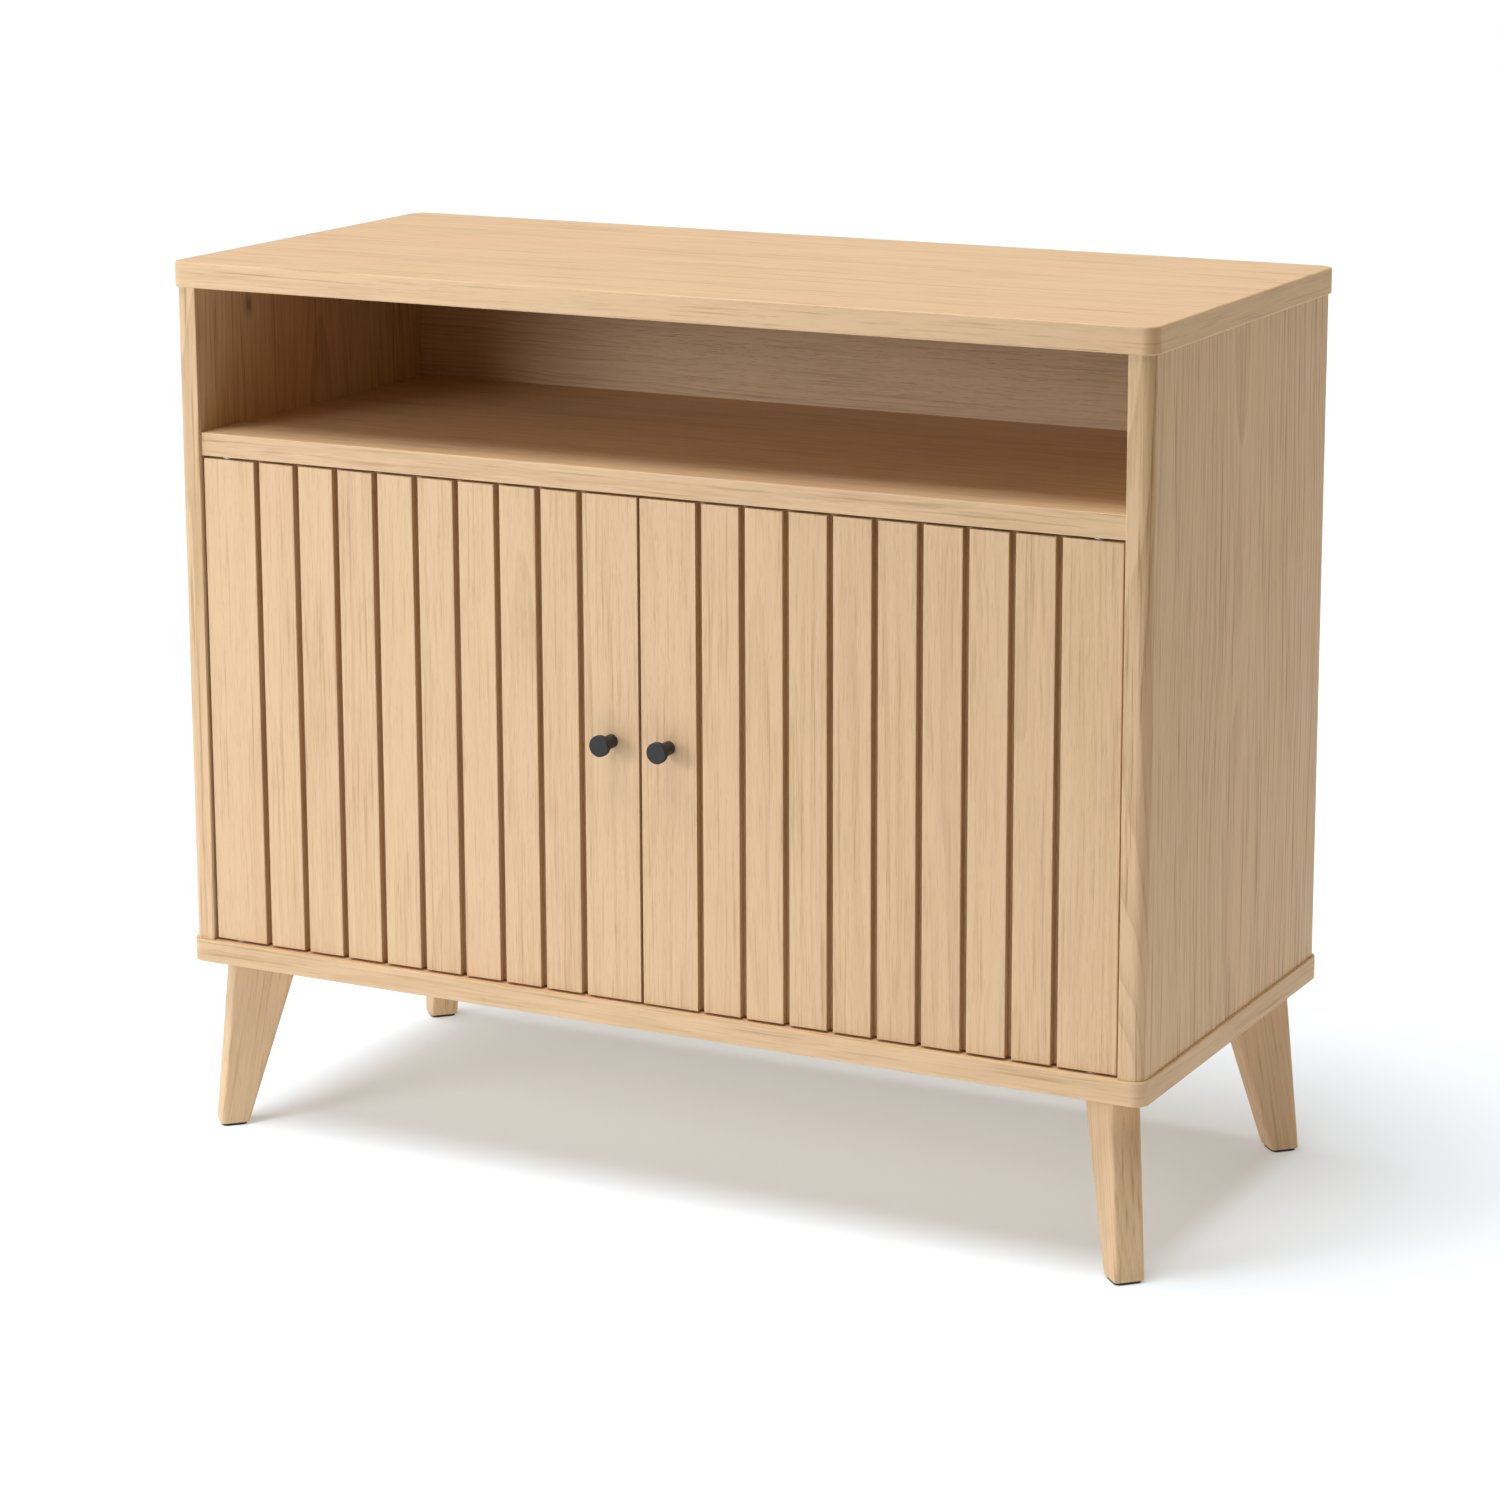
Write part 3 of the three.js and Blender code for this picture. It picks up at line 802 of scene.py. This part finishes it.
class CABINET_OT_doors(bpy.types.Operator):
    """Makes the stiles and the backing board of each door"""

    bl_idname = "cabinet.doors"
    bl_label = "Door stiles and boards"

    def execute(self, context):
        edges = context.scene.cabinet_edges
        for side in DOORS:
            door_wood(f"{side}_door_hinge_stile", "oak_slat", edges.slat)
            door_wood(f"{side}_door_meeting_stile", "oak_slat", edges.slat)
            # The board's front is the floor of each groove, so it takes the painted groove shade.
            door_wood(f"{side}_door_board", "oak_board", 0.0, faces_forward)
        return {"FINISHED"}


class CABINET_OT_slats(bpy.types.Operator):
    """Makes the eight slats of each door"""

    bl_idname = "cabinet.slats"
    bl_label = "Door slats"

    def execute(self, context):
        edges = context.scene.cabinet_edges
        for side in DOORS:
            for number in SLATS:
                door_wood(f"{side}_door_slat_{number}", "oak_slat", edges.slat)
        return {"FINISHED"}


def lathe(outline, centre, steps):
    """A shape turned about the Y axis, from pairs of radius and Y, closed at both ends."""
    shape = bmesh.new()
    rings = []
    for radius, y in outline:
        if radius < WELD:
            rings.append([shape.verts.new((centre.x, y, centre.z))])
            continue
        ring = []
        for step in range(steps):
            angle = 2 * math.pi * step / steps
            spot = (centre.x + radius * math.cos(angle), y, centre.z + radius * math.sin(angle))
            ring.append(shape.verts.new(spot))
        rings.append(ring)
    for first, second in zip(rings, rings[1:]):
        for step in range(steps):
            after = (step + 1) % steps
            face = [first[step % len(first)], first[after % len(first)],
                    second[after % len(second)], second[step % len(second)]]
            shape.faces.new(dict.fromkeys(face))
    bmesh.ops.recalc_face_normals(shape, faces=shape.faces)
    return shape


def arc(centre_radius, centre_y, radius, start, end, steps):
    """Points of a small arc of an outline; its angles are measured from the Y direction."""
    points = []
    for step in range(steps + 1):
        angle = math.radians(start + (end - start) * step / steps)
        spot = (centre_radius + radius * math.sin(angle), centre_y - radius * math.cos(angle))
        points.append(spot)
    return points


class CABINET_OT_knobs(bpy.types.Operator):
    """Makes the two black knobs: a flat disc on a cone that runs into the stem"""

    bl_idname = "cabinet.knobs"
    bl_label = "Knobs"

    def execute(self, context):
        head_length, cone_length, stem_radius = 5.0 * MM, 4.0 * MM, 5.75 * MM
        flare, flare_length, fillet, fillet_length = 0.5 * MM, 0.8 * MM, 0.1 * MM, 1.0 * MM
        rim, back_rim, bore_gap, thread = 0.9 * MM, 0.6 * MM, 0.3 * MM, 2.3 * MM
        round_steps = 64
        for side in DOORS:
            node = f"{side}_knob"
            low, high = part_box(node)
            screw_low, screw_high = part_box(f"{side}_knob_screw")
            centre = (low + high) / 2
            head = (high.x - low.x) / 2
            bore = (screw_high.z - screw_low.z) / 2
            shaft = min(bore, thread)
            bottom = screw_low.y - bore_gap
            neck = low.y + head_length + cone_length
            outline = [(0.0, low.y), (head * 0.5, low.y)]
            outline += arc(head - rim, low.y + rim, rim, 0, 90, 5)
            outline += arc(head - back_rim, low.y + head_length - back_rim, back_rim, 90, 150, 4)
            outline += [(stem_radius + flare, neck - flare_length), (stem_radius + fillet, neck),
                        (stem_radius, neck + fillet_length), (stem_radius, high.y),
                        (shaft, high.y), (shaft, bottom), (0.0, bottom)]
            shape = lathe(outline, centre, round_steps)
            add_piece(f"{node}_turned", shape, node, "black_knob")
        return {"FINISHED"}


class CABINET_OT_legs(bpy.types.Operator):
    """Makes the four splayed, tapered legs"""

    bl_idname = "cabinet.legs"
    bl_label = "Legs"

    def execute(self, context):
        edges = context.scene.cabinet_edges
        splay = 0.18
        for end in ENDS:
            for side in DOORS:
                node = f"leg_{end}_{side}"
                low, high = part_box(node)
                long_edge = (high.z - low.z) * 0.6

                def is_long(middle, direction, long_edge=long_edge):
                    return direction.length > long_edge

                def at_foot(middle, direction, low=low):
                    return middle.z - low.z < TOUCH

                shape = take(node)
                ease(shape, edges.leg, is_long)
                ease(shape, edges.foot, at_foot)
                piece = add_piece(f"{node}_oak", shape, node, "oak_leg")
                centre = (low + high) / 2
                outward = Vector((math.copysign(1, centre.x), math.copysign(1, centre.y), 0))
                outward.normalize()
                down = Vector((outward.x * splay, outward.y * splay, -1)).normalized()
                lay_grain(piece, down, down.cross(outward.cross(Z_AXIS)).normalized())
        return {"FINISHED"}


def dress(node, slot, radius):
    """Gives a node that keeps its packed shape its finish and soft edges."""
    packed = NODES[node]
    packed.data.materials.clear()
    packed.data.materials.append(finish(slot))
    weld = packed.modifiers.new("Joined corners", "WELD")
    weld.merge_threshold = WELD
    soft = packed.modifiers.new("Soft edges", "BEVEL")
    soft.width = radius
    soft.segments = 2
    soft.limit_method = "ANGLE"
    soft.angle_limit = EDGE_ANGLE
    soft.harden_normals = True


class CABINET_OT_glides(bpy.types.Operator):
    """Finishes the black glides under the legs"""

    bl_idname = "cabinet.glides"
    bl_label = "Glides"

    def execute(self, context):
        for end in ENDS:
            for side in DOORS:
                dress(f"glide_{end}_{side}", "black_plastic", context.scene.cabinet_edges.fitting)
        return {"FINISHED"}


class CABINET_OT_fittings(bpy.types.Operator):
    """Finishes the bolts, shelf pegs, catch, pivots, screws and strike plates"""

    bl_idname = "cabinet.fittings"
    bl_label = "Fittings"

    def execute(self, context):
        radius = context.scene.cabinet_edges.fitting
        for end in ENDS:
            for side in DOORS:
                dress(f"leg_bolt_{end}_{side}", "steel", radius)
                dress(f"shelf_peg_{end}_{side}", "steel", radius)
        dress("magnet_catch", "black_plastic", radius)
        for side in DOORS:
            dress(f"{side}_knob_screw", "steel", radius)
            dress(f"{side}_strike_plate", "steel", radius)
            for level in ("top", "bottom"):
                dress(f"{side}_pivot_pin_{level}", "steel", radius)
                dress(f"{side}_pivot_bush_{level}", "nylon", radius)
        return {"FINISHED"}


# ---------------------------------------------------------------- studio


def add_floor(studio):
    """A wide round floor that glows a little, so that shadows on it stay soft.

    Far off at the front right it throws little light back, though it's seen as pale as the rest."""
    floor_radius = 60.0
    lit_to, unlit_from = 1.3, 2.4
    shape = bmesh.new()
    bmesh.ops.create_circle(shape, cap_ends=True, segments=96, radius=floor_radius)
    mesh = bpy.data.meshes.new("studio_floor")
    shape.to_mesh(mesh)
    shape.free()
    material = bpy.data.materials.new("studio_floor")
    graph = Graph(material)
    place = graph.node("ShaderNodeTexCoord", output="Object")
    east, north, _ = graph.split(place)
    unlit = graph.within(east - north, lit_to, unlit_from) * (1 - graph.seen())
    colour = graph.blend(unlit, rgba(studio.floor), rgba(studio.far_floor))
    glow = graph.blend(unlit, rgba((1.0, 1.0, 1.0)), rgba(studio.far_floor))
    graph.surface(Base_Color=colour, Roughness=1.0, Specular_IOR_Level=0.0,
                  Emission_Color=glow, Emission_Strength=studio.glow)
    mesh.materials.append(material)
    floor = bpy.data.objects.new("studio_floor", mesh)
    bpy.context.scene.collection.objects.link(floor)


def add_sky(studio):
    """A pale band at the floor line under a dimmer, warmer ceiling; all of it is seen as pale.

    East, north and height are the parts of each direction, from -1 to 1."""
    world = bpy.data.worlds.new("studio")
    bpy.context.scene.world = world
    graph = Graph(world)
    direction = graph.node("ShaderNodeTexCoord", output="Generated")
    east, north, height = graph.split(direction)
    rear_lift, band_top, ceiling_from = 0.22, 0.09, 0.28
    lift = graph.within(north, 0.0, 0.8) * rear_lift
    ceiling = graph.within(height - lift, band_top, ceiling_from)
    colour = graph.blend(ceiling, rgba(studio.backdrop), rgba(studio.sky))
    dim_side = graph.within(east, -0.55, 0.25) * (1 - graph.within(north, -0.55, 0.35))
    warmer = graph.blend(1.0, colour, rgba(studio.warm_side), "MULTIPLY")
    colour = graph.blend(graph.within(east, 0.0, 0.6), colour, warmer)
    dimmer = graph.blend(1.0, colour, rgba(studio.dim_side), "MULTIPLY")
    colour = graph.blend(dim_side, colour, dimmer)
    colour = graph.blend(graph.seen(), colour, rgba(studio.backdrop))
    lit_side = (1 - graph.within(east, -0.5, 0.3)) * (1 - graph.within(north, -0.7, 0.1))
    strength = 1.0 + lit_side * studio.lit_side
    light = graph.node("ShaderNodeBackground", inputs={"Color": colour, "Strength": strength})
    graph.node("ShaderNodeOutputWorld", inputs={"Surface": light})


def aim(direction):
    """The turn that points a light or camera's own -Z axis along a direction."""
    return direction.to_track_quat("-Z", "Y").to_euler()


def add_lamp(name, kind, place, target, **settings):
    lamp = bpy.data.lights.new(name, kind)
    for key, setting in settings.items():
        setattr(lamp, key, setting)
    holder = bpy.data.objects.new(name, lamp)
    holder.location = place
    holder.rotation_euler = aim(target - place)
    bpy.context.scene.collection.objects.link(holder)


def add_lights(studio):
    middle = Vector((0, 0, 0.4))
    fill_place = Vector((-1.15, -1.85, 1.0))
    key_distance = 4
    flat = math.cos(studio.key_height)
    towards_key = Vector((-math.sin(studio.key_side) * flat, -math.cos(studio.key_side) * flat,
                          math.sin(studio.key_height)))
    add_lamp("key", "SUN", middle + towards_key * key_distance, middle,
             energy=studio.key, angle=studio.key_size, color=(1.0, 1.0, 1.0))
    add_lamp("fill", "AREA", fill_place, middle,
             energy=studio.fill, shape="DISK", size=0.9, color=(0.98, 0.99, 1.0))


def add_camera(studio):
    """The camera, turned, tilted and leaned about its own place."""
    lens = bpy.data.cameras.new("camera")
    lens.lens = studio.lens
    lens.sensor_width = 36.0
    lens.shift_y = studio.shift
    lens.clip_end = 200.0
    camera = bpy.data.objects.new("camera", lens)
    turn = Matrix.Rotation(studio.turn, 4, "Z")
    tilt = Matrix.Rotation(math.pi / 2 - studio.tilt, 4, "X")
    roll = Matrix.Rotation(studio.roll, 4, "Z")
    camera.matrix_world = Matrix.Translation(Vector(studio.eye)) @ turn @ tilt @ roll
    bpy.context.scene.collection.objects.link(camera)
    bpy.context.scene.camera = camera


class CABINET_OT_studio(bpy.types.Operator):
    """Makes the floor, the sky, the lights and the camera"""

    bl_idname = "cabinet.studio"
    bl_label = "Studio"

    def execute(self, context):
        studio = context.scene.cabinet_studio
        add_floor(studio)
        add_sky(studio)
        add_lights(studio)
        add_camera(studio)
        context.scene.view_settings.view_transform = "Standard"
        return {"FINISHED"}


PIECES = (
    CABINET_OT_panels,
    CABINET_OT_sides,
    CABINET_OT_shelves,
    CABINET_OT_back,
    CABINET_OT_doors,
    CABINET_OT_slats,
    CABINET_OT_knobs,
    CABINET_OT_legs,
    CABINET_OT_glides,
    CABINET_OT_fittings,
    CABINET_OT_studio,
)


class CABINET_PT_sidebar(bpy.types.Panel):
    """Lists the settings and the pieces of the cabinet"""

    bl_idname = "CABINET_PT_sidebar"
    bl_label = "Oak media cabinet"
    bl_space_type = "VIEW_3D"
    bl_region_type = "UI"
    bl_category = "Cabinet"

    def draw(self, context):
        for name, group in SETTINGS.items():
            column = self.layout.column(heading=group.__doc__)
            for setting in group.__annotations__:
                column.prop(getattr(context.scene, name), setting)
        for piece in PIECES:
            self.layout.operator(piece.bl_idname)


def register():
    for group in SETTINGS.values():
        bpy.utils.register_class(group)
    for name, group in SETTINGS.items():
        setattr(bpy.types.Scene, name, bpy.props.PointerProperty(type=group))
    for kind in (*PIECES, CABINET_PT_sidebar):
        bpy.utils.register_class(kind)


def unregister():
    for kind in (CABINET_PT_sidebar, *reversed(PIECES)):
        bpy.utils.unregister_class(kind)
    for name, group in SETTINGS.items():
        delattr(bpy.types.Scene, name)
        bpy.utils.unregister_class(group)


def main():
    """Builds the cabinet and its studio, and writes both boxes."""
    register()
    bpy.ops.cabinet.panels()
    bpy.ops.cabinet.sides()
    bpy.ops.cabinet.shelves()
    bpy.ops.cabinet.back()
    bpy.ops.cabinet.doors()
    bpy.ops.cabinet.slats()
    bpy.ops.cabinet.knobs()
    bpy.ops.cabinet.legs()
    bpy.ops.cabinet.glides()
    bpy.ops.cabinet.fittings()
    bpy.ops.cabinet.studio()


if __name__ == "__main__":
    main()
